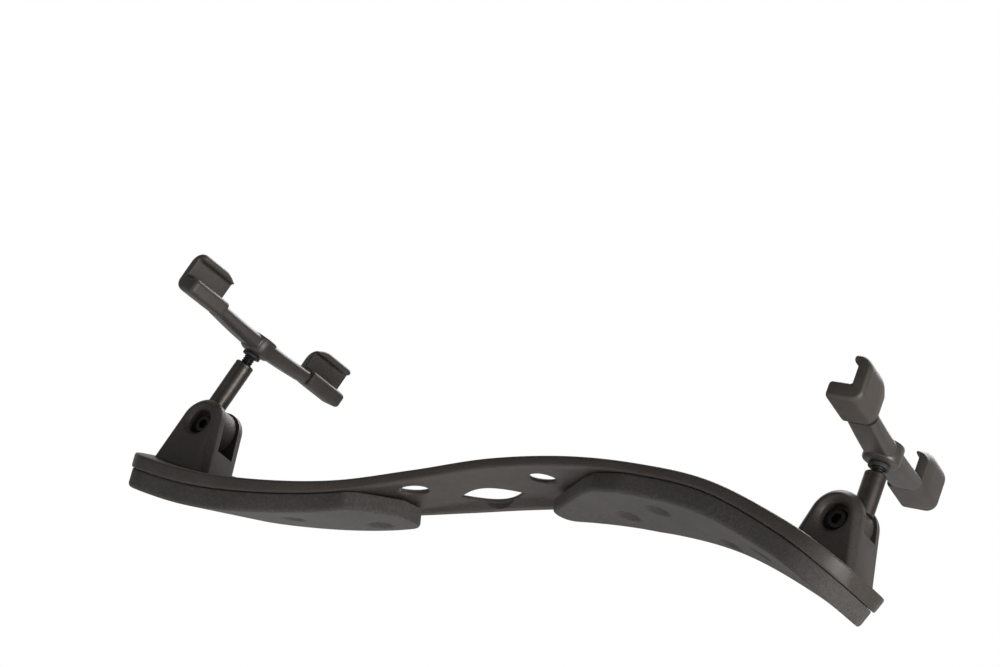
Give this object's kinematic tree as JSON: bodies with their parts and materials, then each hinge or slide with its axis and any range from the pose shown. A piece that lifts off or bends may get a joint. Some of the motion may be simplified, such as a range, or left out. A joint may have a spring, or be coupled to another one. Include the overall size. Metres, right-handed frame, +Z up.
{
  "type": "violin shoulder rest",
  "caption": "Violin shoulder rest: a twisted S-curved bar on two foam pads, with two tilting towers that carry screw-adjusted feet with rubber claws for the violin's edge.",
  "frame": {"origin": "midway between the two feet, in the plane of the claws' seats where the violin's back rests", "axes": "+X towards the shoulder end, +Y towards the violin's end button, +Z up towards the violin"},
  "size_m": [0.2249, 0.0615, 0.0654],
  "materials": {
    "composite": "satin moulded carbon-filled composite",
    "foam": "speckled closed-cell foam",
    "rubber": "smooth satin",
    "coated_metal": "satin dark coating",
    "gunmetal": "warm dark plated metal, turned",
    "black_steel": "black oxide",
    "nylon": "plain dark"
  },
  "bodies": {
    "rest": {"bar": "composite", "chest_pad": "foam", "chest_pad_stud_inner": "nylon", "chest_pad_stud_outer": "nylon", "chest_tower": "composite", "chest_tower_screw_near": "black_steel", "chest_tower_screw_far": "black_steel", "chest_hinge_screw": "black_steel", "chest_hinge_nut": "black_steel", "shoulder_pad": "foam", "shoulder_pad_stud_inner": "nylon", "shoulder_pad_stud_outer": "nylon", "shoulder_tower": "composite", "shoulder_tower_screw_near": "black_steel", "shoulder_tower_screw_far": "black_steel", "shoulder_hinge_screw": "black_steel", "shoulder_hinge_nut": "black_steel"},
    "chest_leg": {"chest_knuckle": "composite", "chest_sleeve": "gunmetal"},
    "chest_lift": {"chest_collar": "nylon"},
    "chest_foot": {"chest_rod": "black_steel", "chest_bow": "coated_metal", "chest_bow_screw": "black_steel", "chest_near_claw": "rubber", "chest_far_claw": "rubber"},
    "shoulder_leg": {"shoulder_knuckle": "composite", "shoulder_sleeve": "gunmetal"},
    "shoulder_lift": {"shoulder_collar": "nylon"},
    "shoulder_foot": {"shoulder_rod": "black_steel", "shoulder_bow": "coated_metal", "shoulder_bow_screw": "black_steel", "shoulder_near_claw": "rubber", "shoulder_far_claw": "rubber"}
  },
  "joints": [
    {"name": "chest_leg_tilt", "type": "hinge", "parent": "rest", "child": "chest_leg", "pos_m": [-0.10298, 0, -0.02947], "axis": [0, 1, 0], "range_deg": [-34, 16]},
    {"name": "chest_foot_height", "type": "slide", "parent": "chest_leg", "child": "chest_lift", "axis": [0.2385, 0, 0.9711], "range_m": [-0.00141, 0.00701]},
    {"name": "chest_foot_turn", "type": "hinge", "parent": "chest_lift", "child": "chest_foot", "pos_m": [-0.10662, 0, -0.02857], "axis": [0.2385, 0, 0.9711], "range_deg": [-720, 3600]},
    {"name": "shoulder_leg_tilt", "type": "hinge", "parent": "rest", "child": "shoulder_leg", "pos_m": [0.09678, 0, -0.02302], "axis": [0, 1, 0], "range_deg": [-22, 28]},
    {"name": "shoulder_foot_height", "type": "slide", "parent": "shoulder_leg", "child": "shoulder_lift", "axis": [-0.0349, 0, 0.9994], "range_m": [-0.00071, 0.00421]},
    {"name": "shoulder_foot_turn", "type": "hinge", "parent": "shoulder_lift", "child": "shoulder_foot", "pos_m": [0.10053, 0, -0.02289], "axis": [-0.0349, 0, 0.9994], "range_deg": [-360, 2160]}
  ],
  "couplings": [
    {"joint": "chest_foot_height", "follows": "chest_foot_turn", "m_per_rad": 0.00011141},
    {"joint": "shoulder_foot_height", "follows": "shoulder_foot_turn", "m_per_rad": 0.00011141}
  ]
}
